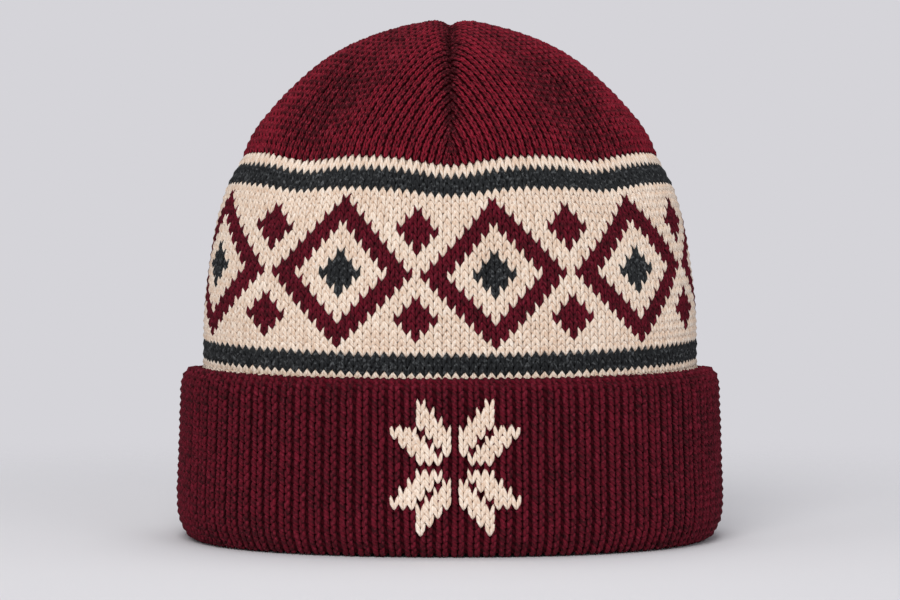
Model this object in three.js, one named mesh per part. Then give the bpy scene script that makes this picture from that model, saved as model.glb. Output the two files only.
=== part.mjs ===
import * as THREE from 'three';

// A knitted beanie that stands on the folded edge of its cuff.
// Millimetres, +Z up, front towards -Y, origin in the middle of the ring that it rests on.

// The knitted tube, measured outside where the cuff's top edge meets it
const bodyWidth = 181.2;
const bodyDepth = 141;
const planPower = 2.2; // 2 would be an ellipse, more is squarer
const bodyWall = 3;
const bandHeight = 77; // from the cuff's top edge up to the crown
const crownHeight = 49.2;

// The turned-up cuff: the tube runs down inside it, folds over at the bottom and comes up outside
const cuffHeight = 64;
const cuffWall = 5.3;
const cuffSlot = 1.2; // between the tube and the turned-up wall
const cuffFlare = 3.5; // how far the fold stands out on each side beyond the tube's top
const foldRound = 6.5; // height of the fold's rounded corners
const restWidth = 3; // the strip of the fold that lies flat on the surface
const ribPitch = 6.03;
const ribDepth = 1.3;

// Where the patterned band ends inside the cuff, and the gap between pieces
const bandTuck = 12;
const seamGap = 0.3;

// Four darts close the crown, and a soft valley runs up the middle of each gore
const dartDepth = 3.4;
const dartReach = 4.5;
const valleyDepth = 2.6;
const valleyReach = 13;
const dartDip = 3; // how far the knitted rows sink at a dart
const valleyDip = 2; // and at a valley

// Rows of the band: rise is a share of bandHeight, width a share of the tube's width and depth,
// and the others are shares of the valley's depth and of the dips
const bandRows = [
  { rise: 0, width: 1, dart: 0, valley: 0, dip: 0 },
  { rise: 0.28, width: 0.994, dart: 0, valley: 0, dip: 0.1 },
  { rise: 0.53, width: 0.969, dart: 0, valley: 0, dip: 0.35 },
  { rise: 0.74, width: 0.931, dart: 0, valley: 0.1, dip: 0.7 },
  { rise: 0.9, width: 0.884, dart: 0, valley: 0.25, dip: 0.9 },
  { rise: 1, width: 0.839, dart: 0.05, valley: 0.4, dip: 1 },
];

// Rows of the crown: rise is a share of crownHeight, and dart a share of dartDepth
const crownRows = [
  { rise: 0, width: 0.839, dart: 0.05, valley: 0.4, dip: 1 },
  { rise: 0.17, width: 0.795, dart: 0.15, valley: 0.7, dip: 0.8 },
  { rise: 0.35, width: 0.719, dart: 0.35, valley: 1, dip: 0.6 },
  { rise: 0.53, width: 0.622, dart: 0.55, valley: 1, dip: 0.4 },
  { rise: 0.7, width: 0.511, dart: 0.75, valley: 0.85, dip: 0.2 },
  { rise: 0.82, width: 0.403, dart: 0.9, valley: 0.6, dip: 0.1 },
  { rise: 0.91, width: 0.292, dart: 1, valley: 0.4, dip: 0 },
  { rise: 0.965, width: 0.196, dart: 1, valley: 0.2, dip: 0 },
  { rise: 0.995, width: 0.085, dart: 0.75, valley: 0, dip: 0 },
];
const apexNotch = 2.2; // how far the point where the darts meet lies below the crown's height

// Columns over half a gore, from a dart to the middle of the valley, as shares of a gore's width
const goreColumns = [0, 0.035, 0.09, 0.16, 0.24, 0.33, 0.42];

// The cuff's section, once round: out is where the point lies between the tube's inner face, 0,
// the tube's outer face, 1, the turned-up wall's inner face, 2, and its outer face, 3.
// up is a share of the cuff's height, and the others are shares of foldRound, restWidth and ribDepth.
const cuffSection = [
  { out: 0, up: 0.3, corner: 0, rest: 0, rib: 0 },
  { out: 0, up: 0, corner: 1, rest: 0, rib: 0 },
  { out: 0.25, up: 0, corner: 0.25, rest: 0, rib: 0 },
  { out: 1, up: 0, corner: 0, rest: -0.5, rib: 0 },
  { out: 1, up: 0, corner: 0, rest: 0.5, rib: 0 },
  { out: 2.36, up: 0, corner: 0.3, rest: 0, rib: 0.4 },
  { out: 2.82, up: 0, corner: 0.85, rest: 0, rib: 0.8 },
  { out: 3, up: 0.18, corner: 0, rest: 0, rib: 1 },
  { out: 3, up: 0.6, corner: 0, rest: 0, rib: 1 },
  { out: 2.97, up: 0.93, corner: 0, rest: 0, rib: 1 },
  { out: 2.72, up: 0.985, corner: 0, rest: 0, rib: 0.7 },
  { out: 2.4, up: 1, corner: 0, rest: 0, rib: 0.3 },
  { out: 2, up: 0.96, corner: 0, rest: 0, rib: 0 },
  { out: 2, up: 0, corner: 1.2, rest: 0, rib: 0 },
  { out: 1, up: 0, corner: 1.2, rest: 0, rib: 0 },
];

const burgundyYarn = new THREE.Color(0x6d1426);
const creamYarn = new THREE.Color(0xe9d8c4);

// The tube's outline seen from above, starting at the front and turning towards +X
class PlanCurve extends THREE.Curve {
  constructor(halfWidth, halfDepth, power) {
    super();
    this.halfWidth = halfWidth;
    this.halfDepth = halfDepth;
    this.power = power;
    this.arcLengthDivisions = 1200;
  }

  getPoint(share, target = new THREE.Vector3()) {
    const turn = 2 * Math.PI * share;
    const bulge = (value) => Math.sign(value) * Math.abs(value) ** (2 / this.power);
    return target.set(this.halfWidth * bulge(Math.sin(turn)), -this.halfDepth * bulge(Math.cos(turn)), 0);
  }
}

const plan = new PlanCurve(bodyWidth / 2, bodyDepth / 2, planPower);
const seamHeight = cuffHeight + bandHeight;
const bandFoot = cuffHeight - bandTuck;
const up = new THREE.Vector3(0, 0, 1);

// A point of the tube's outline and the direction that faces out of it there
function planColumn(share) {
  const point = plan.getPointAt(share % 1);
  const tangent = plan.getTangentAt(share % 1);
  return { share, point, outward: new THREE.Vector3(tangent.y, -tangent.x, 0).normalize() };
}

// How far the tube stands out beyond its width at a height inside the cuff
const flareAt = (height) => cuffFlare * (1 - (height / cuffHeight) ** 2);

// How far along the outline a column lies from the nearest of four places, in millimetres
function reachFrom(share, first) {
  const turn = (share - first) * 4;
  return Math.abs(turn - Math.round(turn)) * plan.getLength() / 4;
}

const dartShape = (distance) => Math.exp(-distance / dartReach);
const valleyShape = (distance) => Math.exp(-((distance / valleyReach) ** 2));

// One ring of the tube, with its darts, valleys and dips
function bodyRing(columns, height, row) {
  return columns.map(({ share, point, outward }) => {
    const dart = dartShape(reachFrom(share, 0) * row.width);
    const valley = valleyShape(reachFrom(share, 0.125) * row.width);
    const depth = row.dart * dartDepth * dart + row.valley * valleyDepth * valley;
    const lean = row.width ** 2; // 1 where the wall is upright, 0 at the top of the crown
    const sink = row.dip * (dartDip * dart + valleyDip * valley);
    return point.clone().multiplyScalar(row.width)
      .addScaledVector(outward, -depth * lean)
      .setZ(height - sink - depth * (1 - lean));
  });
}

// Faces between neighbouring rings. A ring of one point is a pole.
function ringFaces(starts, sizes, closed) {
  const faces = [];
  const last = closed ? starts.length : starts.length - 1;
  for (let i = 0; i < last; i += 1) {
    const next = (i + 1) % starts.length;
    const count = Math.max(sizes[i], sizes[next]);
    for (let k = 0; k < count; k += 1) {
      const here = (j) => starts[i] + (j % sizes[i]);
      const there = (j) => starts[next] + (j % sizes[next]);
      if (sizes[i] > 1) faces.push(here(k), here(k + 1), there(k + 1));
      if (sizes[next] > 1) faces.push(here(k), there(k + 1), there(k));
    }
  }
  return faces;
}

function ringGeometry(rings, closed = false) {
  const starts = [];
  let total = 0;
  for (const ring of rings) {
    starts.push(total);
    total += ring.length;
  }
  const geometry = new THREE.BufferGeometry().setFromPoints(rings.flat());
  geometry.setIndex(ringFaces(starts, rings.map((ring) => ring.length), closed));
  geometry.computeVertexNormals();
  return geometry;
}

// The same rings moved in by the wall's thickness, along the normals of the surface they make
function innerRings(rings, thickness) {
  const geometry = ringGeometry(rings);
  const normals = geometry.getAttribute('normal');
  let index = 0;
  return rings.map((ring) => ring.map((point) => {
    const inward = new THREE.Vector3().fromBufferAttribute(normals, index);
    index += 1;
    return point.clone().addScaledVector(inward, -thickness);
  }));
}

// The whole tube from inside the cuff up to the apex, with a gap where the band meets the crown
function bodyRings() {
  const half = [...goreColumns, 0.5];
  const gore = [...half, ...goreColumns.slice(1).reverse().map((share) => 1 - share)];
  const columns = [0, 1, 2, 3].flatMap((i) => gore.map((share) => planColumn((i + share) / 4)));
  const foot = columns.map(({ point, outward }) => point.clone()
    .addScaledVector(outward, flareAt(bandFoot)).setZ(bandFoot + seamGap));
  const band = bandRows.map((row) => bodyRing(columns, cuffHeight + row.rise * bandHeight, row));
  band.unshift(foot);
  const crown = crownRows.map((row) => bodyRing(columns, seamHeight + row.rise * crownHeight, row));
  band.at(-1).forEach((point) => point.addScaledVector(up, -seamGap / 2));
  crown[0].forEach((point) => point.addScaledVector(up, seamGap / 2));
  crown.push([new THREE.Vector3(0, 0, seamHeight + crownHeight - apexNotch)]);
  return { band, crown };
}

function bodyShells() {
  const { band, crown } = bodyRings();
  const inner = innerRings([...band, ...crown], bodyWall);
  const bandInner = inner.slice(0, band.length).reverse();
  const crownInner = inner.slice(band.length).reverse();
  return {
    band: ringGeometry([...band, ...bandInner], true),
    crown: ringGeometry([...crownInner, ...crown]),
  };
}

// Where a share across the fold lies, out from the tube's outer face
function foldOffset(out) {
  const faces = [-bodyWall, 0, cuffSlot, cuffSlot + cuffWall];
  const layer = Math.min(Math.floor(out), faces.length - 2);
  return THREE.MathUtils.lerp(faces[layer], faces[layer + 1], out - layer);
}

function cuffGeometry() {
  const outside = foldOffset(3);
  const widest = new PlanCurve(
    bodyWidth / 2 + cuffFlare + outside, bodyDepth / 2 + cuffFlare + outside, planPower);
  const ribCount = Math.round(widest.getLength() / ribPitch);
  const ringAt = (point) => Array.from({ length: 2 * ribCount }, (_, k) => {
    const column = planColumn(k / (2 * ribCount));
    const height = point.up * cuffHeight + point.corner * foldRound;
    const groove = k % 2 === 0 ? point.rib * ribDepth : 0;
    const offset = foldOffset(point.out) + point.rest * restWidth - groove;
    return column.point.addScaledVector(column.outward, flareAt(height) + offset).setZ(height);
  });
  const foot = { out: 0, up: bandFoot / cuffHeight, corner: 0, rest: 0, rib: 0 };
  const section = [{ ...foot, out: 1 }, foot, ...cuffSection];
  return ringGeometry(section.map(ringAt), true);
}

function knit(name, geometry, color) {
  const material = new THREE.MeshStandardMaterial({ color, roughness: 0.9, metalness: 0 });
  const mesh = new THREE.Mesh(geometry, material);
  mesh.name = name;
  return mesh;
}

const shells = bodyShells();
const beanie = new THREE.Group();
beanie.add(knit('crown', shells.crown, burgundyYarn));
beanie.add(knit('patterned_band', shells.band, creamYarn));
beanie.add(knit('cuff', cuffGeometry(), burgundyYarn));

export default beanie;
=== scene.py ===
import math

import bmesh
import bpy
import numpy as np
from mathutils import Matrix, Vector


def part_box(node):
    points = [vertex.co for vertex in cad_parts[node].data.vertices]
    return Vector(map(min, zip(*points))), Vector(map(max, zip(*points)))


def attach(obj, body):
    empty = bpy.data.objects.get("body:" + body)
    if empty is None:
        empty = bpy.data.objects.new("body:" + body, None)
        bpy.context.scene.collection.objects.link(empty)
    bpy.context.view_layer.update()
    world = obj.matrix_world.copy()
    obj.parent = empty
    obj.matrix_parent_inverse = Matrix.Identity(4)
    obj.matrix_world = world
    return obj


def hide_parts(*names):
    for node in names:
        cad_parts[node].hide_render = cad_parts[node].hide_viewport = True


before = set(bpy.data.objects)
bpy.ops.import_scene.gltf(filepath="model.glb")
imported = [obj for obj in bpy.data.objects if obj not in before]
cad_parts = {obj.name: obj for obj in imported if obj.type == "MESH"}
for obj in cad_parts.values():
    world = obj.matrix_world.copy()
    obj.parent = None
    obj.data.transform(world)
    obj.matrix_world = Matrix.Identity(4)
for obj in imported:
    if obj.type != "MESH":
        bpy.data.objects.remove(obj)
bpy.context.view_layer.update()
mm = 0.001
chance = np.random.default_rng(41)

# The camera comes first, at the photograph's angle
cameraSetup = {
    "lens": 200,
    "sensor": 36,
    "distance": 1.84,
    "elevation": 3.3,
    "lookAt": (0, 0, 0.087),
}


def makeCamera():
    data = bpy.data.cameras.new("camera")
    data.lens = cameraSetup["lens"]
    data.sensor_width = cameraSetup["sensor"]
    camera = bpy.data.objects.new("camera", data)
    rise = math.radians(cameraSetup["elevation"])
    back = Vector((0, -math.cos(rise), math.sin(rise)))
    camera.location = Vector(cameraSetup["lookAt"]) + back * cameraSetup["distance"]
    camera.rotation_euler = back.to_track_quat("Z", "Y").to_euler()
    bpy.context.scene.collection.objects.link(camera)
    bpy.context.scene.camera = camera


makeCamera()
print("camera placed")

# The hat's form. Heights and widths come from the frame, and the tables hold shares of them.
form = {
    "seamGap": 0.18 * mm,  # how far above the band's solid the crown's seam lies
    "crownFullness": 1.03,  # the knitted crown's rise as a share of its solid's
    "tubeWidth": 0.902,  # as shares of the cuff's width and depth
    "tubeDepth": 0.877,
    "planPower": 2.2,  # 2 would be an ellipse, more is squarer
    "cuffFlare": 3.5 * mm,
    "cuffWallOut": 6.5 * mm,  # from the tube's outline to the turned-up wall's outer face
    "cuffBackDip": 2.2 * mm,  # how much lower the turned-up edge is behind
    "backDipChange": 2.5,  # how quickly it sinks at the sides
    "dartDepth": 5 * mm,
    "dartReach": 3.6 * mm,
    "dartInside": 1.5 * mm,  # how far past its line the dart still grows deeper
    "valleyDepth": 4 * mm,
    "valleyReach": 12 * mm,
    "dartDip": 2.9 * mm,  # how far the knitted rows sink towards a dart
    "dartDipReach": 15 * mm,
    "valleyDip": 1.8 * mm,
    "frontSag": 1.8 * mm,  # how far the rows hang lower in front and behind than at the sides
    "sagFrom": 1.6,  # cuff heights, up to which the sag is whole
    "sagAtSeam": 0.4,  # the share of it that is left at the crown's seam
}
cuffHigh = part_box("cuff")[1]
cuffTop = cuffHigh.z
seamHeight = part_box("patterned_band")[1].z + form["seamGap"]
crownRise = (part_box("crown")[1].z - seamHeight) * form["crownFullness"]
tubeHalfWidth = cuffHigh.x * form["tubeWidth"]
tubeHalfDepth = cuffHigh.y * form["tubeDepth"]

# rise between the cuff's top and the crown's seam, width, dart, valley and dip, all as shares
bandRows = [
    (0, 1, 0, 0, 0),
    (0.28, 0.994, 0, 0, 0.1),
    (0.53, 0.969, 0, 0, 0.35),
    (0.74, 0.936, 0, 0.1, 0.7),
    (0.9, 0.891, 0, 0.25, 0.9),
    (1, 0.846, 0.12, 0.4, 1),
]
seamWidth = bandRows[-1][1]
# rise above the seam, and the same shares as in the band
crownRows = [
    (0.17, 0.805, 0.4, 0.7, 0.8),
    (0.35, 0.73, 0.7, 1, 0.6),
    (0.53, 0.634, 0.9, 1, 0.4),
    (0.7, 0.522, 1, 0.85, 0.2),
    (0.82, 0.411, 1, 0.6, 0.1),
    (0.91, 0.297, 1, 0.4, 0),
    (0.965, 0.199, 0.9, 0.2, 0),
    (0.995, 0.085, 0.75, 0, 0),
    (1, 0, 0.6, 0, 0),
]
# The cuff's section in millimetres: out from the tube's outer face, and up. It runs from the tube's
# end down the inner face, round the fold, up the outside and over the top edge into the slot.
cuffSection = [
    (-3, 51.5), (-3, 40), (-3, 28), (-3, 16), (-2.95, 9), (-2.7, 4.8), (-1.9, 1.8), (-0.6, 0.4),
    (0.8, 0), (2.2, 1), (3.6, 3.1), (5.0, 5.6), (5.85, 8.3), (6.3, 11.5), (6.5, 16), (6.5, 28),
    (6.8, 40), (7.15, 50), (7.5, 57.2), (6.9, 61), (5.3, 63.1), (3.8, 63.9), (2.4, 63.2),
    (1.5, 61), (1.3, 57), (1.3, 50),
]
# The smooth layer under the cuff's yarn, once round, with the slot between the two walls
cuffGroundSection = [
    (-0.3, 51.5), (-0.9, 52), (-1.5, 51.5), (-1.5, 40), (-1.5, 28), (-1.5, 16), (-1.4, 8), (-1.0, 3.8),
    (0, 1.8), (1.2, 1.5), (2.6, 3.2), (4.0, 6.2), (4.7, 10), (4.9, 16), (4.9, 28), (5.2, 40),
    (5.65, 50), (6.35, 57), (6.2, 60.6), (5.1, 62.5), (3.8, 63.3), (2.8, 62.5), (2.7, 59), (2.7, 40),
    (2.6, 14), (2.1, 8.4), (1.2, 7.4), (0.3, 8.4), (-0.1, 14), (-0.1, 40), (-0.3, 51.5),
]


def smoothThrough(places, values, at):
    # a smooth curve through a table's rows, read at many places at once
    slopes = np.gradient(values, places, axis=0)
    row = np.clip(np.searchsorted(places, at) - 1, 0, len(places) - 2)
    step = (places[row + 1] - places[row])[..., None]
    t = (at - places[row])[..., None] / step
    return (
        values[row] * (1 + 2 * t) * (1 - t) ** 2
        + slopes[row] * step * t * (1 - t) ** 2
        + values[row + 1] * t ** 2 * (3 - 2 * t)
        + slopes[row + 1] * step * t ** 2 * (t - 1)
    )


def alongPath(points):
    # the distance travelled at each point of a line
    steps = np.linalg.norm(np.diff(points, axis=0), axis=1)
    return np.concatenate([[0], np.cumsum(steps)])


# The tube's outline from above, evenly parted by its length, from the front towards +X
def makeOutline():
    steps = 1200
    turn = np.linspace(0, 2 * np.pi, 6 * steps + 1)
    power = 2 / form["planPower"]
    across = np.sign(np.sin(turn)) * np.abs(np.sin(turn)) ** power
    deep = np.sign(np.cos(turn)) * np.abs(np.cos(turn)) ** power
    points = np.stack([tubeHalfWidth * across, -tubeHalfDepth * deep], 1)
    travelled = alongPath(points)
    even = np.linspace(0, travelled[-1], steps + 1)
    x = np.interp(even, travelled, points[:, 0])
    y = np.interp(even, travelled, points[:, 1])
    slopeWeights = [3, 2, 1, 0, -1, -2, -3]  # a smooth slope, from three points on either side
    slopeX = np.convolve(np.concatenate([x[-4:-1], x, x[1:4]]), slopeWeights, "valid")
    slopeY = np.convolve(np.concatenate([y[-4:-1], y, y[1:4]]), slopeWeights, "valid")
    length = np.hypot(slopeX, slopeY)
    shares = np.linspace(0, 1, steps + 1)
    return travelled[-1], shares, np.stack([x, y, slopeY / length, -slopeX / length])


tubeLength, outlineShares, outlineTable = makeOutline()
quarter = tubeLength / 4


def outlineAt(share):
    # the place on the outline and the way out of it, at a share of its length
    share = np.mod(share, 1)
    return [np.interp(share, outlineShares, column) for column in outlineTable]


def flareAt(height):
    # how far the tube widens towards the fold
    return np.where(height < cuffTop, form["cuffFlare"] * (1 - (height / cuffTop) ** 2), 0)


# The tube's rows as one table of height, width, dart, valley and dip, along the line up its side.
# The first two lie inside the cuff.
tubeRows = np.array(
    [(cuffTop - 14 * mm, 1, 0, 0, 0), (cuffTop - 6 * mm, 1, 0, 0, 0)]
    + [(cuffTop + row[0] * (seamHeight - cuffTop), *row[1:]) for row in bandRows]
    + [(seamHeight + row[0] * crownRise, *row[1:]) for row in crownRows]
)
meanHalf = (tubeHalfWidth + tubeHalfDepth) / 2
tubePath = alongPath(np.stack([tubeRows[:, 1] * meanHalf, tubeRows[:, 0]], 1))
seamPath = tubePath[1 + len(bandRows)]
apexPath = tubePath[-1]


def gorePoint(gore, local, path):
    # a point of the tube: local runs from -0.5 to 0.5 across one of its four gores
    path = np.clip(path, tubePath[0], apexPath)
    height, width, dart, valley, dip = np.moveaxis(smoothThrough(tubePath, tubeRows, path), -1, 0)
    width = np.maximum(width, 0)
    x, y, outX, outY = outlineAt((gore + 0.5 + local) / 4)
    fromDart = np.maximum((0.5 - np.abs(local)) * quarter * width, -form["dartInside"])
    fromValley = np.abs(local) * quarter * width
    hollow = np.exp(-((fromValley / form["valleyReach"]) ** 2))
    depth = dart * form["dartDepth"] * np.exp(-fromDart / form["dartReach"])
    depth = depth + valley * form["valleyDepth"] * hollow
    sink = form["dartDip"] * np.exp(-((fromDart / form["dartDipReach"]) ** 2)) + form["valleyDip"] * hollow
    lean = width ** 2  # 1 where the wall is upright, 0 at the top
    out = flareAt(height) - depth * lean
    sag = form["frontSag"] * np.cos((gore + 0.5 + local) / 2 * math.pi) ** 2
    sagHeights = [cuffTop * form["sagFrom"], seamHeight, seamHeight + crownRise]
    sag = sag * np.interp(height, sagHeights, [1, form["sagAtSeam"], 0])
    return np.stack([x * width + outX * out, y * width + outY * out,
                     height - dip * sink - sag - depth * (1 - lean)], -1)


def tubePoint(share, path):
    # a point of the tube: share runs from 0 to 1 all the way round it
    gore = np.floor(np.mod(share, 1) * 4)
    return gorePoint(gore, np.mod(share, 1) * 4 - gore - 0.5, path)


def sectionSurface(section):
    # the surface that a section makes as it goes round the tube, and the length of the section
    table = np.array(section) * mm
    travelled = alongPath(table)

    def point(share, path):
        out, height = np.moveaxis(smoothThrough(travelled, table, path), -1, 0)
        x, y, outX, outY = outlineAt(share)
        out = out + flareAt(height)
        behind = np.clip(0.5 - form["backDipChange"] * np.cos(2 * math.pi * share), 0, 1)
        dip = form["cuffBackDip"] * behind ** 2 * (3 - 2 * behind) * np.clip(height / cuffTop, 0, 1) ** 2
        return np.stack([x + outX * out, y + outY * out, height - dip], -1)

    return point, travelled


cuffPoint, cuffPath = sectionSurface(cuffSection)
cuffGroundPoint, cuffGroundPath = sectionSurface(cuffGroundSection)
cuffLength = tubeLength + 2 * math.pi * (form["cuffFlare"] + form["cuffWallOut"])


def liftedOff(surface, across, along, lift):
    # points that stand off a surface by their lift, along its normal
    reach = 0.4 * mm
    turn = reach / tubeLength
    base = surface(across, along)
    acrossWay = surface(across + turn, along) - surface(across - turn, along)
    alongWay = surface(across, along + reach) - surface(across, along - reach)
    normal = np.cross(acrossWay, alongWay)
    length = np.linalg.norm(normal, axis=-1, keepdims=True)
    normal = np.where(length < 1e-12, [0, 0, 1], normal / np.maximum(length, 1e-12))
    return base + normal * np.asarray(lift)[..., None]


# Shader maths and nodes
class Wire:
    # wraps one socket, so that maths on it adds Math nodes
    def __init__(self, tree, socket):
        self.tree = tree
        self.socket = socket

    def maths(self, operation, *values):
        node = self.tree.nodes.new("ShaderNodeMath")
        node.operation = operation
        for slot, value in zip(node.inputs, values):
            if isinstance(value, Wire):
                self.tree.links.new(value.socket, slot)
            else:
                slot.default_value = value
        return Wire(self.tree, node.outputs[0])

    def __add__(self, other):
        return self.maths("ADD", self, other)

    def __radd__(self, other):
        return self.maths("ADD", other, self)

    def __sub__(self, other):
        return self.maths("SUBTRACT", self, other)

    def __rsub__(self, other):
        return self.maths("SUBTRACT", other, self)

    def __mul__(self, other):
        return self.maths("MULTIPLY", self, other)

    def __rmul__(self, other):
        return self.maths("MULTIPLY", other, self)

    def __truediv__(self, other):
        return self.maths("DIVIDE", self, other)

    def wave(self):
        return self.maths("SINE", self * (2 * math.pi))

    def size(self):
        return self.maths("ABSOLUTE", self)

    def clamped(self):
        return self.maths("MINIMUM", self.maths("MAXIMUM", self, 0.0), 1.0)


class Finish:
    # one material, with its nodes
    def __init__(self, name):
        self.material = bpy.data.materials.new(name)
        self.material.use_nodes = True
        self.tree = self.material.node_tree
        self.tree.nodes.clear()

    def add(self, kind, settings, sockets, output=0):
        node = self.tree.nodes.new(kind)
        for key, value in settings.items():
            setattr(node, key, value)
        for key, value in sockets.items():
            if isinstance(value, Wire):
                self.tree.links.new(value.socket, node.inputs[key])
            else:
                node.inputs[key].default_value = value
        return Wire(self.tree, node.outputs[output])

    def objectCoordinates(self):
        return self.add("ShaderNodeTexCoord", {}, {}, "Object")

    def mapPlace(self):
        # the two directions of the piece's own map
        uv = self.add("ShaderNodeUVMap", {"uv_map": "UVMap"}, {})
        split = self.tree.nodes.new("ShaderNodeSeparateXYZ")
        self.tree.links.new(uv.socket, split.inputs[0])
        return Wire(self.tree, split.outputs[0]), Wire(self.tree, split.outputs[1])

    def noise(self, scale, detail, vector=None):
        where = vector or self.objectCoordinates()
        return self.add("ShaderNodeTexNoise", {}, {"Vector": where, "Scale": scale, "Detail": detail})

    def mix(self, factor, first, second):
        return self.add("ShaderNodeMix", {"data_type": "RGBA"}, {0: factor, 6: first, 7: second}, 2)

    def finish(self, shader):
        output = self.tree.nodes.new("ShaderNodeOutputMaterial")
        self.tree.links.new(shader.socket, output.inputs["Surface"])
        return self.material


def linear(red, green, blue):
    # an everyday colour, 0 to 255, as the light that shaders work with
    def channel(value):
        share = value / 255
        return share / 12.92 if share <= 0.04045 else ((share + 0.055) / 1.055) ** 2.4

    return (channel(red), channel(green), channel(blue), 1)


# Each yarn: its colour in shade, in full and where fibres catch the light, then how strong the fuzz's
# sheen is, how much of the colour is left in the painted shade between the stitches, and how much painted
# shade darkens a strand's sides and underside
yarnColours = {
    "burgundy": {
        "deep": (54, 4, 12), "full": (155, 27, 50), "pale": (158, 48, 66),
        "fuzz": 0.15, "gap": 0.25, "sides": 1.5,
    },
    "burgundyRib": {
        "deep": (44, 3, 9), "full": (109, 14, 35), "pale": (132, 34, 55),
        "fuzz": 0.15, "gap": 0.4, "sides": 1,
    },
    "cream": {
        "deep": (218, 188, 163), "full": (252, 237, 221), "pale": (255, 247, 238),
        "fuzz": 0.15, "gap": 0.9, "sides": 0.4,
    },
    "charcoal": {
        "deep": (18, 20, 22), "full": (46, 48, 50), "pale": (112, 115, 117),
        "fuzz": 0.15, "gap": 0.5, "sides": 0.9,
    },
}
# What all yarns share. The grains say how fine a noise is, and the shares how much each part gives.
yarnSetup = {
    "ply": (2, 2.6),  # the plies round the yarn, and how often they turn along a leg
    "fibres": (3, 5),  # how often the fibres change round the yarn and along a leg
    "toneSpread": 37,  # keeps the fibres of different legs apart
    "heatherGrain": 850.0,
    "patchGrain": 55.0,
    "shade": {"ply": 0.45, "fibres": 0.65, "toneAndPaintedShade": 0.6, "patches": 0.5},
    "fleck": (0.54, 7, 0.55),  # the heather at which flecks start, how sharp they are, how pale
    "relief": {"ply": 0.7, "fibres": 0.6, "heather": 0.2},
    "bump": (0.8, 0.3 * mm),
}
groundLook = {
    "arch": 0.22,  # how far the purl bumps of one row are bent, in rows
    "fibreGrain": 1500.0,
    "shade": {"bumps": 0.7, "fibres": 0.3},
    "fibreRelief": 0.4,
    "bump": (0.9, 0.9 * mm),
}


def makeYarnFinish(name, colours):
    # a strand of plied yarn, from its own map and two attributes of its points: tone, with painted crease
    # shade on the crown, and turned, which sets painted shade on a strand's sides and underside
    finish = Finish(name)
    around, along = finish.mapPlace()
    toneAndPaintedShade = finish.add("ShaderNodeAttribute", {"attribute_name": "toneAndPaintedShade"}, {}, "Fac")
    turned = finish.add("ShaderNodeAttribute", {"attribute_name": "turned"}, {}, "Fac")
    plies, plyTurns = yarnSetup["ply"]
    ply = (around * plies + along * plyTurns).wave() * 0.5 + 0.5
    fibresAround, fibresAlong = yarnSetup["fibres"]
    where = finish.add("ShaderNodeCombineXYZ", {}, {
        0: around * fibresAround, 1: along * fibresAlong, 2: toneAndPaintedShade * yarnSetup["toneSpread"],
    })
    fibres = finish.noise(5.0, 3.0, where)
    heather = finish.noise(yarnSetup["heatherGrain"], 3.0)
    patches = finish.noise(yarnSetup["patchGrain"], 2.0)
    parts = yarnSetup["shade"]
    shade = ply * parts["ply"] + fibres * parts["fibres"] + (toneAndPaintedShade - 0.5) * parts["toneAndPaintedShade"]
    shade = shade + (patches - 0.5) * parts["patches"]
    # painted shade: a strand's sides and underside, where turned is high, are darkened by the yarn's sides
    # share
    shade = (shade - turned * colours["sides"]).clamped()
    colour = finish.mix(shade, linear(*colours["deep"]), linear(*colours["full"]))
    fleckFrom, sharpness, most = yarnSetup["fleck"]
    fleck = ((heather - fleckFrom) * sharpness).clamped() * most
    colour = finish.mix(fleck, colour, linear(*colours["pale"]))
    relief = yarnSetup["relief"]
    height = ply * relief["ply"] + fibres * relief["fibres"] + heather * relief["heather"]
    strength, distance = yarnSetup["bump"]
    normal = finish.add("ShaderNodeBump", {}, {"Strength": strength, "Distance": distance, "Height": height})
    shader = finish.add("ShaderNodeBsdfPrincipled", {}, {
        "Base Color": colour,
        "Roughness": 0.86,
        "Specular IOR Level": 0.18,
        "Sheen Weight": colours["fuzz"],
        "Sheen Roughness": 0.55,
        "Sheen Tint": linear(*colours["pale"]),
        "Normal": normal,
    })
    return finish.finish(shader)


def makeGroundFinish(name, colours):
    # the fabric's wrong side and the painted shade between the stitches, in rows of small purl bumps that are
    # painted darker in their hollows
    finish = Finish(name)
    wale, row = finish.mapPlace()
    arch = wale.wave() * groundLook["arch"]
    bumps = ((row + arch) * 0.5).wave().size()
    fibres = finish.noise(groundLook["fibreGrain"], 3.0)
    parts = groundLook["shade"]
    shade = (bumps * parts["bumps"] + fibres * parts["fibres"]).clamped()
    dark = [value * colours["gap"] for value in linear(*colours["deep"])[:3]] + [1]
    full = [value * colours["gap"] for value in linear(*colours["full"])[:3]] + [1]
    colour = finish.mix(shade, dark, full)
    height = bumps + fibres * groundLook["fibreRelief"]
    strength, distance = groundLook["bump"]
    normal = finish.add("ShaderNodeBump", {}, {"Strength": strength, "Distance": distance, "Height": height})
    shader = finish.add("ShaderNodeBsdfPrincipled", {}, {
        "Base Color": colour, "Roughness": 0.92, "Specular IOR Level": 0.1, "Normal": normal,
    })
    return finish.finish(shader)


yarnFinishes = {name: makeYarnFinish(name + "_yarn", colours) for name, colours in yarnColours.items()}
groundFinishes = {name: makeGroundFinish(name + "_ground", colours) for name, colours in yarnColours.items()}
insideFinishes = {name: makeGroundFinish(name + "_inside", {**colours, "gap": 1})
                  for name, colours in yarnColours.items()}
print("yarns dyed")


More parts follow.
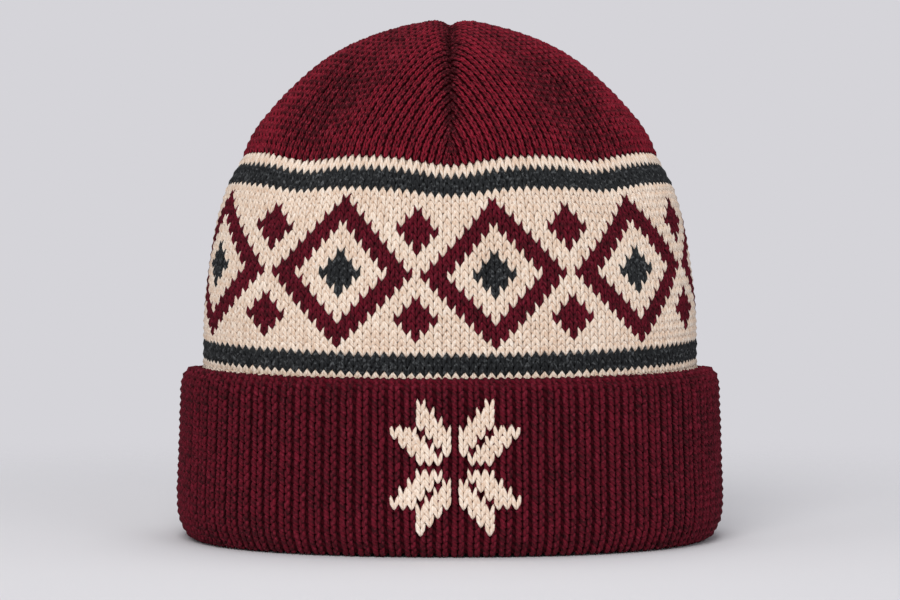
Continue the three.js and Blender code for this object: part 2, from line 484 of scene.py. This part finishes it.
# A stitch is two legs of yarn. A leg starts as a small sphere that is drawn out along a curve.
def makeLegTemplate(sides, rings):
    bm = bmesh.new()
    bm.loops.layers.uv.new("UVMap")
    bmesh.ops.create_uvsphere(bm, u_segments=sides, v_segments=rings, radius=1, calc_uvs=True)
    uv = bm.loops.layers.uv.active
    bm.verts.index_update()
    template = {
        "points": np.array([vertex.co for vertex in bm.verts]),
        "corners": np.array([loop.vert.index for face in bm.faces for loop in face.loops]),
        "cornerUv": np.array([loop[uv].uv for face in bm.faces for loop in face.loops]),
        "faceSizes": np.array([len(face.loops) for face in bm.faces]),
    }
    bm.free()
    return template


fineLeg = makeLegTemplate(6, 4)
plainLeg = makeLegTemplate(5, 3)
fineRings = [-1, -math.sqrt(0.5), 0, math.sqrt(0.5), 1]  # where the fine leg's rings lie along the sphere


def shapeStitch(template, shape):
    # both legs of one stitch, in wales, rows and metres of lift
    x, y, z = template["points"].T
    places, girths = np.array(shape["rings"]).T
    t = np.interp(z, fineRings, places)
    girth = np.interp(z, fineRings, girths)
    angle = np.arctan2(y, x)
    wale, row = shape["pitch"]
    (footX, footY), (headX, headY) = shape["foot"], shape["head"]
    legs = []
    for side in (-1, 1):
        across = side * (footX + (headX - footX) * (1 - (1 - t) ** shape["bend"])) * wale
        along = (footY + (headY - footY) * t) * row
        slopeX = side * (headX - footX) * shape["bend"] * (1 - t) ** (shape["bend"] - 1) * wale
        slopeY = (headY - footY) * row
        length = np.hypot(slopeX, slopeY)
        footLift, middleLift, headLift = shape["lift"]
        lift = footLift * (1 - t) * (1 - 2 * t) + middleLift * 4 * t * (1 - t) + headLift * t * (2 * t - 1)
        sideways = girth * np.cos(angle) * shape["halfWidth"]
        outwards = -girth * np.sin(angle) * shape["halfThick"]
        legs.append(np.stack([
            (across + sideways * slopeY / length) / wale,
            (along - sideways * slopeX / length) / row,
            lift + outwards,
        ], 1))
    return np.concatenate(legs)


def linkPiece(mesh, name, replaced=None):
    piece = bpy.data.objects.new(name, mesh)
    bpy.context.scene.collection.objects.link(piece)
    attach(piece, "root")
    if replaced:
        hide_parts(replaced)
    return piece


# How much single stitches differ: the tone of each leg, then each stitch's lift and size
unevenness = {"toneAndPaintedShade": 0.2, "lift": 0.06 * mm, "size": 0.03}


def joinStitches(name, template, stitches, finish, shade=None):
    # one mesh of many stitches: an array of stitches by points by three, and how much painted shade darkens
    # each
    legs = stitches.reshape(-1, len(template["points"]), 3)
    count = len(legs)
    starts = np.arange(count)[:, None] * len(template["points"])
    sizes = np.tile(template["faceSizes"], count)
    mesh = bpy.data.meshes.new(name)
    mesh.vertices.add(legs.shape[0] * legs.shape[1])
    mesh.vertices.foreach_set("co", legs.astype(np.float32).ravel())
    mesh.loops.add(count * len(template["corners"]))
    mesh.loops.foreach_set("vertex_index", (template["corners"][None] + starts).astype(np.int32).ravel())
    mesh.polygons.add(len(sizes))
    mesh.polygons.foreach_set("loop_start", np.concatenate([[0], np.cumsum(sizes)[:-1]]).astype(np.int32))
    mesh.uv_layers.new(name="UVMap")
    uv = np.tile(template["cornerUv"], (count, 1)).astype(np.float32)
    mesh.uv_layers["UVMap"].data.foreach_set("uv", uv.ravel())
    toneAndPaintedShade = np.clip(chance.normal(0.5, unevenness["toneAndPaintedShade"], count), 0, 1)
    # painted shade, where given, lowers each leg's tone, which otherwise differs at random
    if shade is not None:
        toneAndPaintedShade = toneAndPaintedShade - np.repeat(shade, 2)
    toneAndPaintedShade = np.repeat(toneAndPaintedShade, len(template["points"]))
    mesh.attributes.new("toneAndPaintedShade", "FLOAT", "POINT").data.foreach_set("value", toneAndPaintedShade.astype(np.float32))
    # turned is 0 where a strand faces out of the fabric, and 1 where it faces in; the yarn finish paints
    # shade on a strand by it
    x, y = template["points"][:, :2].T
    turned = 0.5 + 0.5 * y / np.maximum(np.hypot(x, y), 0.01)
    turned = np.tile(turned, count).astype(np.float32)
    mesh.attributes.new("turned", "FLOAT", "POINT").data.foreach_set("value", turned)
    mesh.update(calc_edges=True)
    mesh.shade_smooth()
    mesh.materials.append(finish)
    linkPiece(mesh, name)


def jitter(stitch, count, amount):
    # stitches that differ a little in size and in place, there by an amount of wales and rows
    shift = chance.normal(0, amount, (count, 1, 3)) * [1, 1, unevenness["lift"] / amount]
    size = 1 + chance.normal(0, unevenness["size"], (count, 1, 1))
    return stitch[None] * size + shift


# The band's pattern, one entry for each wale and row, counted from the crown's seam down
bandSetup = {
    "wales": 162,
    "rows": 30,
    "hiddenRows": 3,  # inside the cuff, with no yarn over the smooth layer
    "rowPitch": 3.23 * mm,
    "squeeze": (15, 0.025 * mm),  # from this row down, the cuff's grip packs the rows closer
    "drift": (-0.35, -2.2, -34, 10),  # wales that the pattern lies aside: all, most, where, how far
    # rows, and how many millimetres further down than their even place their top edges lie
    "stripeTaller": ([0, 1, 3, 5, 20, 22, 24, 26], [-1.3, -0.8, 0.68, 0, 0, -0.8, 0.75, 0]),
    "stripeRows": (1, 2),  # the upper charcoal stripe, and the lower one the same from the other side
    "patternRows": 17,
    "repeat": 18,
    "firstDiamond": 5,  # the wale of the first large diamond's middle
    "diamond": (6, 8),  # from its middle to the inside and outside of its outline
    "heart": 2,
    "small": (9, 5, 2),  # the small diamonds: wales and rows away, and their size
}


def bandYarnAt(wale, row):
    # the chart: stripes above and below, and between them large diamonds with small ones at their sides
    setup = bandSetup
    first = setup["stripeRows"][-1] + 2
    lower = first + setup["patternRows"] + 1
    if row in setup["stripeRows"] or row in (lower, lower + 1):
        return "charcoal"
    if not first <= row < first + setup["patternRows"]:
        return "cream"
    dx = abs((wale - setup["firstDiamond"] + setup["repeat"] // 2) % setup["repeat"] - setup["repeat"] // 2)
    dy = abs(row - first - setup["patternRows"] // 2)
    if setup["diamond"][0] <= dx + dy <= setup["diamond"][1]:
        return "burgundy"
    if dx + dy <= setup["heart"]:
        return "charcoal"
    apartX, apartY, small = setup["small"]
    if apartX - dx + abs(dy - apartY) <= small:
        return "burgundy"
    return "cream"


# The chart's yarns, each with the name of its finish
bandYarns = {"cream": "cream", "burgundy": "burgundyRib", "charcoal": "charcoal"}
bandChart = np.array([[bandYarnAt(wale, row) for wale in range(bandSetup["wales"])]
                      for row in range(bandSetup["rows"])])


def rowPath(row):
    # where a row's top edge lies along the tube's side, counted down from the crown's seam
    first, amount = bandSetup["squeeze"]
    moved = np.interp(row, *bandSetup["stripeTaller"]) * mm
    return seamPath - (row * bandSetup["rowPitch"] + moved - amount * np.maximum(row - first, 0) ** 2)


def waleShare(wale):
    # where a wale lies round the tube, with the pattern's drift
    every, most, where, reach = bandSetup["drift"]
    fromMost = np.mod(wale - where + bandSetup["wales"] / 2, bandSetup["wales"]) - bandSetup["wales"] / 2
    return (wale + every + most * np.exp(-((fromMost / reach) ** 2))) / bandSetup["wales"]


bandStitch = {
    "pitch": (3.0 * mm, 3.2 * mm),
    "foot": (0.01, -0.44),  # of the right leg, in wales and rows
    "head": (0.45, 1.4),
    "bend": 1.45,
    "rings": [(0, 0), (0.14, 0.5), (0.42, 1), (0.77, 0.76), (1, 0)],  # along the leg, and its girth
    "halfWidth": 0.8 * mm,
    "halfThick": 0.85 * mm,
    "lift": (-0.8 * mm, -0.6 * mm, -1.3 * mm),  # of the leg's middle line at its foot, halfway and head
    "astray": 0.02,  # how far a stitch may lie from its even place, in wales and rows
}


def knitBand():
    shape = shapeStitch(fineLeg, bandStitch)
    rows, wales = np.indices(bandChart.shape)
    shown = rows < bandSetup["rows"] - bandSetup["hiddenRows"]
    for yarn, finish in bandYarns.items():
        chosen = (bandChart == yarn) & shown
        wale, row = wales[chosen], rows[chosen]
        stitches = jitter(shape, len(wale), bandStitch["astray"])
        share = waleShare(wale[:, None] + 0.5 + stitches[..., 0])
        path = rowPath(row[:, None] + 1 - stitches[..., 1])
        points = liftedOff(tubePoint, share, path, stitches[..., 2])
        joinStitches("band_yarn_" + yarn, fineLeg, points, yarnFinishes[finish])


knitBand()
print("band knitted")

crownSetup = {
    "rowPitch": 3.08 * mm,
    "base": 0.7,  # rows above the seam where the first row starts
    "lastRow": 0.6,  # rows below the top within which none starts
    "past": 1.2 * mm,  # past a dart, where a wale ends
    # how far past the dart a stitch may reach, and how many gore widths from the gore's middle at most
    "tuck": (1.6 * mm, 0.6),
    "leastWidth": 0.004,  # a share of the tube's width, at the top
    "below": 4 * mm,  # how far under the seam the line starts along which a wale is measured
    "samples": 260,  # along that line
    "dartPaintedShade": 1.8,  # how much painted shade darkens the stitches in a dart's crease
    "dartPaintedShadeReach": 1.9 * mm,
    # how much painted shade darkens the stitches in a gore's middle valley
    "valleyPaintedShade": 0.6,
}
crownStitch = {
    **bandStitch,
    "pitch": (2.69 * mm, 3.08 * mm),
    "foot": (0.055, -0.42),
    "head": (0.29, 1.34),
    "rings": [(0, 0), (0.13, 0.68), (0.42, 1), (0.77, 0.8), (1, 0)],
    "halfWidth": 0.58 * mm,
    "halfThick": 0.95 * mm,
    "lift": (-0.95 * mm, -0.6 * mm, -1.6 * mm),
    "astray": 0.04,
}


def knitGore(gore):
    # wales keep their width and run beside the gore's middle line until a dart cuts them off
    pitch = crownSetup["rowPitch"]
    shape = shapeStitch(fineLeg, crownStitch)
    wale = tubeLength * seamWidth / bandSetup["wales"]
    perGore = bandSetup["wales"] / 4
    numbers = np.arange(math.floor(perGore * gore), math.ceil(perGore * (gore + 1)) + 1)
    offsets = numbers - perGore * (gore + 0.5) + 0.5 + bandSetup["drift"][0]
    line = np.linspace(seamPath - crownSetup["below"], apexPath, crownSetup["samples"])
    widths, darts, valleys = smoothThrough(tubePath, tubeRows[:, 1:4], line).T
    widths = np.maximum(widths, crownSetup["leastWidth"])
    tuck, mostTuck = crownSetup["tuck"]

    def surface(across, along):
        room = np.interp(along, line, widths) * quarter
        most = np.minimum(0.5 + tuck / room, mostTuck)
        return gorePoint(gore, np.clip(across * tubeLength / room, -most, most), along)

    made = []
    paintedShades = []
    for offset in offsets[(offsets >= -perGore / 2) & (offsets < perGore / 2)]:
        side = offset * wale / tubeLength
        travelled = alongPath(surface(np.full(len(line), side), line))
        seam = np.interp(seamPath, line, travelled)
        rows = np.arange(int((travelled[-1] - seam) / pitch) + 1)
        starts = seam + (rows + crownSetup["base"]) * pitch
        middles = np.interp(starts + 0.5 * pitch, travelled, line)
        width = np.interp(middles, line, widths)
        past = np.abs(side) * tubeLength - width * quarter / 2
        kept = (past <= crownSetup["past"] * width) & (starts < travelled[-1] - crownSetup["lastRow"] * pitch)
        starts = starts[kept]
        if not len(starts):
            continue
        stitches = jitter(shape, len(starts), crownStitch["astray"])
        path = np.interp(starts[:, None] + stitches[..., 1] * pitch, travelled, line)
        across = side + stitches[..., 0] * wale / tubeLength
        made.append(liftedOff(surface, across, path, stitches[..., 2]))
        # painted shade on the stitches near a dart's crease and in a gore's middle valley
        nearDart = np.exp(-((np.minimum(past[kept], 0) / crownSetup["dartPaintedShadeReach"]) ** 2))
        nearValley = math.exp(-((side * tubeLength / form["valleyReach"]) ** 2))
        paintedShades.append(
            crownSetup["dartPaintedShade"] * nearDart * np.interp(middles[kept], line, darts)
            + crownSetup["valleyPaintedShade"] * nearValley * np.interp(middles[kept], line, valleys)
        )
    joinStitches(f"crown_yarn_{gore + 1}", fineLeg, np.concatenate(made), yarnFinishes["burgundy"],
                 np.concatenate(paintedShades))


for number in range(4):
    knitGore(number)
print("crown knitted")

cuffSetup = {
    "ribs": 96,
    "rowPitch": 2.85 * mm,
    "base": 0.2,  # rows above the tube's end where the first row starts
    "foldPoint": 4,  # the point of the section where its inner face starts to turn round the fold
    "slotPoint": -3,  # and the one where the top edge has gone down into the slot
    "wallPoints": slice(10, 18),  # the points of the turned-up wall's outer face
    "endMargin": 0.5 * mm,  # how far from the section's ends the yarn stays
    "rimHeight": 59,  # millimetres, above which the layer under the yarn has the rim's finish, with lighter painted shade between the stitches
}
cuffStitch = {
    "pitch": (6.03 * mm, 2.85 * mm),
    "foot": (0.075, -0.4),
    "head": (0.325, 1.36),
    "bend": 1.3,
    "rings": [(0, 0), (0.12, 0.68), (0.43, 1), (0.77, 0.78), (1, 0)],
    "halfWidth": 1.1 * mm,
    "halfThick": 1.2 * mm,
    "lift": (-1.35 * mm, -0.87 * mm, -1.85 * mm),
    "astray": 0.015,
}


def knitCuff():
    # the outside in two halves with all its detail, and the inside and the slot with plainer yarn
    pitch = cuffSetup["rowPitch"]
    ribs = cuffSetup["ribs"]
    margin = cuffSetup["endMargin"]
    rows = np.arange(int(cuffPath[-1] / pitch) - 1)
    starts = (rows + cuffSetup["base"]) * pitch
    inner = (starts < cuffPath[cuffSetup["foldPoint"]]) | (starts > cuffPath[cuffSetup["slotPoint"]])
    numbers = np.arange(ribs)
    front = (numbers < ribs // 4) | (numbers >= ribs - ribs // 4)
    parts = (
        ("cuff_yarn_front", fineLeg, numbers[front], starts[~inner]),
        ("cuff_yarn_back", fineLeg, numbers[~front], starts[~inner]),
        ("cuff_yarn_inside", plainLeg, numbers, starts[inner]),
    )
    for name, template, chosenRibs, chosenStarts in parts:
        shape = shapeStitch(template, cuffStitch)
        rib, start = [grid.ravel() for grid in np.meshgrid(chosenRibs, chosenStarts)]
        stitches = jitter(shape, len(rib), cuffStitch["astray"])
        share = (rib[:, None] + 0.5 + stitches[..., 0]) / ribs
        path = np.clip(start[:, None] + stitches[..., 1] * pitch, margin, cuffPath[-1] - margin)
        points = liftedOff(cuffPoint, share, path, stitches[..., 2])
        points[..., 2] = np.maximum(points[..., 2], 0)  # pressed flat where the fold rests
        joinStitches(name, template, points, yarnFinishes["burgundyRib"])


knitCuff()
print("cuff knitted")

# A traditional star of eight petals on the cuff's front
starSetup = {"centre": (1.9 * mm, 32.5 * mm), "pitch": (3.25 * mm, 3.1 * mm), "reach": 7}
starStitch = {
    **bandStitch,
    "pitch": starSetup["pitch"],
    "halfWidth": 0.9 * mm,
    "halfThick": 0.75 * mm,
    "lift": (0, 0.1 * mm, -0.45 * mm),
    "astray": 0.015,
}


def inPetal(x, y):
    # whether a stitch of the star's upper right eighth belongs to the petal, counted from the middle
    return max(1, y - 3) <= x <= min(y - 1, 4)


def knitStar():
    wale, row = starSetup["pitch"]
    span = range(-starSetup["reach"], starSetup["reach"] + 1)
    cells = [(x, y) for x in span for y in span if inPetal(abs(x), abs(y)) or inPetal(abs(y), abs(x))]
    x, y = np.array(cells).T
    wall = cuffSetup["wallPoints"]
    middle = np.interp(starSetup["centre"][1], np.array(cuffSection)[wall, 1] * mm, cuffPath[wall])
    stitches = jitter(shapeStitch(fineLeg, starStitch), len(cells), starStitch["astray"])
    share = (starSetup["centre"][0] + (x[:, None] + stitches[..., 0]) * wale) / cuffLength
    path = middle + (y[:, None] - 0.5 + stitches[..., 1]) * row
    points = liftedOff(cuffPoint, share, path, stitches[..., 2])
    joinStitches("star_yarn", fineLeg, points, yarnFinishes["cream"])


knitStar()
print("star knitted")


# The smooth layer under the stitches is also the wrong side that shows inside the hat
groundSetup = {
    "depth": 1.5 * mm,  # how far it lies inside the surface that the stitches follow
    "thickness": 1.5 * mm,
    "cuffColumns": 96,
    "crownColumns": 96,
    "crownLines": 27,
    "merge": 0.02 * mm,
}


def makeGround(name, surface, columns, lines, mapAt, depth=0.0, finishAt=None):
    # a grid of columns and lines bent onto a surface; mapAt gives each corner its place in the knitting,
    # and finishAt each face the number of its finish
    levels = len(lines) - 1
    bm = bmesh.new()
    uv = bm.loops.layers.uv.new("UVMap")
    bmesh.ops.create_grid(bm, x_segments=columns, y_segments=levels, size=0.5)
    across = np.array([vertex.co.x + 0.5 for vertex in bm.verts])
    level = np.array([vertex.co.y + 0.5 for vertex in bm.verts]) * levels
    path = np.interp(level, np.arange(levels + 1), lines)
    for face in bm.faces:
        middle = face.calc_center_median()
        for loop in face.loops:
            along = np.interp((loop.vert.co.y + 0.5) * levels, np.arange(levels + 1), lines)
            loop[uv].uv = mapAt(loop.vert.co.x + 0.5, along, middle.x + 0.5)
        if finishAt:
            face.material_index = finishAt(int((middle.x + 0.5) * columns), int((middle.y + 0.5) * levels))
        face.smooth = True
    for vertex, place in zip(bm.verts, liftedOff(surface, across, path, np.full(len(path), -depth))):
        vertex.co = place
    bmesh.ops.remove_doubles(bm, verts=bm.verts, dist=groundSetup["merge"])
    bmesh.ops.recalc_face_normals(bm, faces=bm.faces)
    mesh = bpy.data.meshes.new(name)
    bm.to_mesh(mesh)
    bm.free()
    return mesh


def dressGround(mesh, name, node, finishes, thickness=0.0):
    for finish in finishes:
        mesh.materials.append(finish)
    piece = linkPiece(mesh, name, node)
    if thickness:
        # the second half of the finishes goes on the inner face
        wall = piece.modifiers.new("wall", "SOLIDIFY")
        wall.thickness = thickness
        wall.offset = -1
        wall.material_offset = wall.material_offset_rim = len(finishes) // 2


def makeBandGround():
    yarns = list(bandYarns)
    rows = bandSetup["rows"]
    lines = rowPath(np.arange(rows, -1, -1.0))

    def mapAt(share, along, middle):
        return (share * bandSetup["wales"], along / bandSetup["rowPitch"])

    def yarnAt(column, level):
        return yarns.index(bandChart[rows - 1 - level, column])

    mesh = makeGround("band_ground", tubePoint, bandSetup["wales"], lines, mapAt, groundSetup["depth"],
                      finishAt=yarnAt)
    finishes = [kind[finish] for kind in (groundFinishes, insideFinishes) for finish in bandYarns.values()]
    dressGround(mesh, "band_ground", "patterned_band", finishes, groundSetup["thickness"])


def makeCrownGround():
    lines = np.linspace(rowPath(0), apexPath, groundSetup["crownLines"])
    widths = smoothThrough(tubePath, tubeRows[:, 1:2], lines)[:, 0]

    def mapAt(share, along, middle):
        # the wales run beside the gore's middle line, as the stitches do
        local = share * 4 - math.floor(middle * 4) - 0.5
        wide = max(np.interp(along, lines, widths), 0) / seamWidth
        return (local * wide * bandSetup["wales"] / 4, along / crownSetup["rowPitch"])

    mesh = makeGround("crown_ground", tubePoint, groundSetup["crownColumns"], lines, mapAt,
                      groundSetup["depth"])
    finishes = [groundFinishes["burgundy"], insideFinishes["burgundy"]]
    dressGround(mesh, "crown_ground", "crown", finishes, groundSetup["thickness"])


def makeCuffGround():
    heights = np.array(cuffGroundSection)[:, 1]

    def mapAt(share, along, middle):
        return (share * cuffSetup["ribs"], along / cuffSetup["rowPitch"])

    def rimAt(column, level):
        return int(min(heights[level], heights[level + 1]) > cuffSetup["rimHeight"])

    mesh = makeGround("cuff_ground", cuffGroundPoint, groundSetup["cuffColumns"], cuffGroundPath, mapAt,
                      finishAt=rimAt)
    # the rim's ground gets lighter painted shade between the stitches
    rim = makeGroundFinish("rim_ground", {**yarnColours["burgundyRib"], "gap": 0.8})
    dressGround(mesh, "cuff_ground", "cuff", [groundFinishes["burgundyRib"], rim])


makeBandGround()
makeCrownGround()
makeCuffGround()
print("grounds made")

# A pale floor that fades into the studio's even backdrop, and soft light
studio = {
    "backdrop": (213, 212, 217),
    "glow": 0.42,  # how much of the backdrop's brightness lights the hat
    "floor": (0.86, 0.86, 0.89),
    "floorReach": 0.5,
    "floorDrop": 0.0002,  # keeps the floor clear of the fold that rests on it
    "fade": (0.16, 0.46),  # the distances between which the floor fades out
    "aim": (0, 0, 0.08),  # where the lights point
    "lights": [
        # name, place, size, power, colour
        ("key", (-0.35, -2.0, 1.5), 1.4, 31, (1, 0.985, 0.965)),
        ("fill", (1.1, -1.8, 0.5), 1.4, 10, (0.97, 0.985, 1)),
        ("side", (-1.7, -1.1, 0.35), 1.2, 6, (1, 0.99, 0.975)),
        ("top", (0.1, 0.3, 1.9), 1.2, 8, (1, 1, 1)),
    ],
}


def makeFloor():
    bm = bmesh.new()
    bmesh.ops.create_circle(bm, cap_ends=True, segments=96, radius=studio["floorReach"])
    mesh = bpy.data.meshes.new("floor")
    bm.to_mesh(mesh)
    bm.free()
    finish = Finish("studio_floor")
    spot = finish.objectCoordinates()
    away = finish.add("ShaderNodeVectorMath", {"operation": "LENGTH"}, {0: spot}, "Value")
    near, far = studio["fade"]
    share = ((far - away) / (far - near)).clamped()
    alpha = share * share * (3 - share * 2)
    shader = finish.add("ShaderNodeBsdfPrincipled", {}, {
        "Base Color": (*studio["floor"], 1), "Roughness": 0.9, "Specular IOR Level": 0.1, "Alpha": alpha,
    })
    mesh.materials.append(finish.finish(shader))
    floor = bpy.data.objects.new("floor", mesh)
    floor.location.z = -studio["floorDrop"]
    bpy.context.scene.collection.objects.link(floor)


def makeLights():
    # the camera sees the even backdrop, and the hat gets a part of its light
    world = bpy.data.worlds.new("studio")
    bpy.context.scene.world = world
    world.use_nodes = True
    nodes, links = world.node_tree.nodes, world.node_tree.links
    seen = nodes["Background"]
    seen.inputs["Color"].default_value = linear(*studio["backdrop"])
    glow = nodes.new("ShaderNodeBackground")
    glow.inputs["Color"].default_value = linear(*studio["backdrop"])
    glow.inputs["Strength"].default_value = studio["glow"]
    ray = nodes.new("ShaderNodeLightPath")
    choice = nodes.new("ShaderNodeMixShader")
    links.new(ray.outputs["Is Camera Ray"], choice.inputs["Fac"])
    links.new(glow.outputs[0], choice.inputs[1])
    links.new(seen.outputs[0], choice.inputs[2])
    links.new(choice.outputs[0], nodes["World Output"].inputs["Surface"])
    for name, place, size, power, colour in studio["lights"]:
        data = bpy.data.lights.new(name, "AREA")
        data.shape = "DISK"
        data.size = size
        data.energy = power
        data.color = colour
        light = bpy.data.objects.new(name, data)
        light.location = place
        aim = Vector(studio["aim"]) - Vector(place)
        light.rotation_euler = aim.to_track_quat("-Z", "Y").to_euler()
        bpy.context.scene.collection.objects.link(light)


makeFloor()
makeLights()
bpy.context.scene.view_settings.view_transform = "Standard"
print("studio set")

bpy.context.view_layer.update()
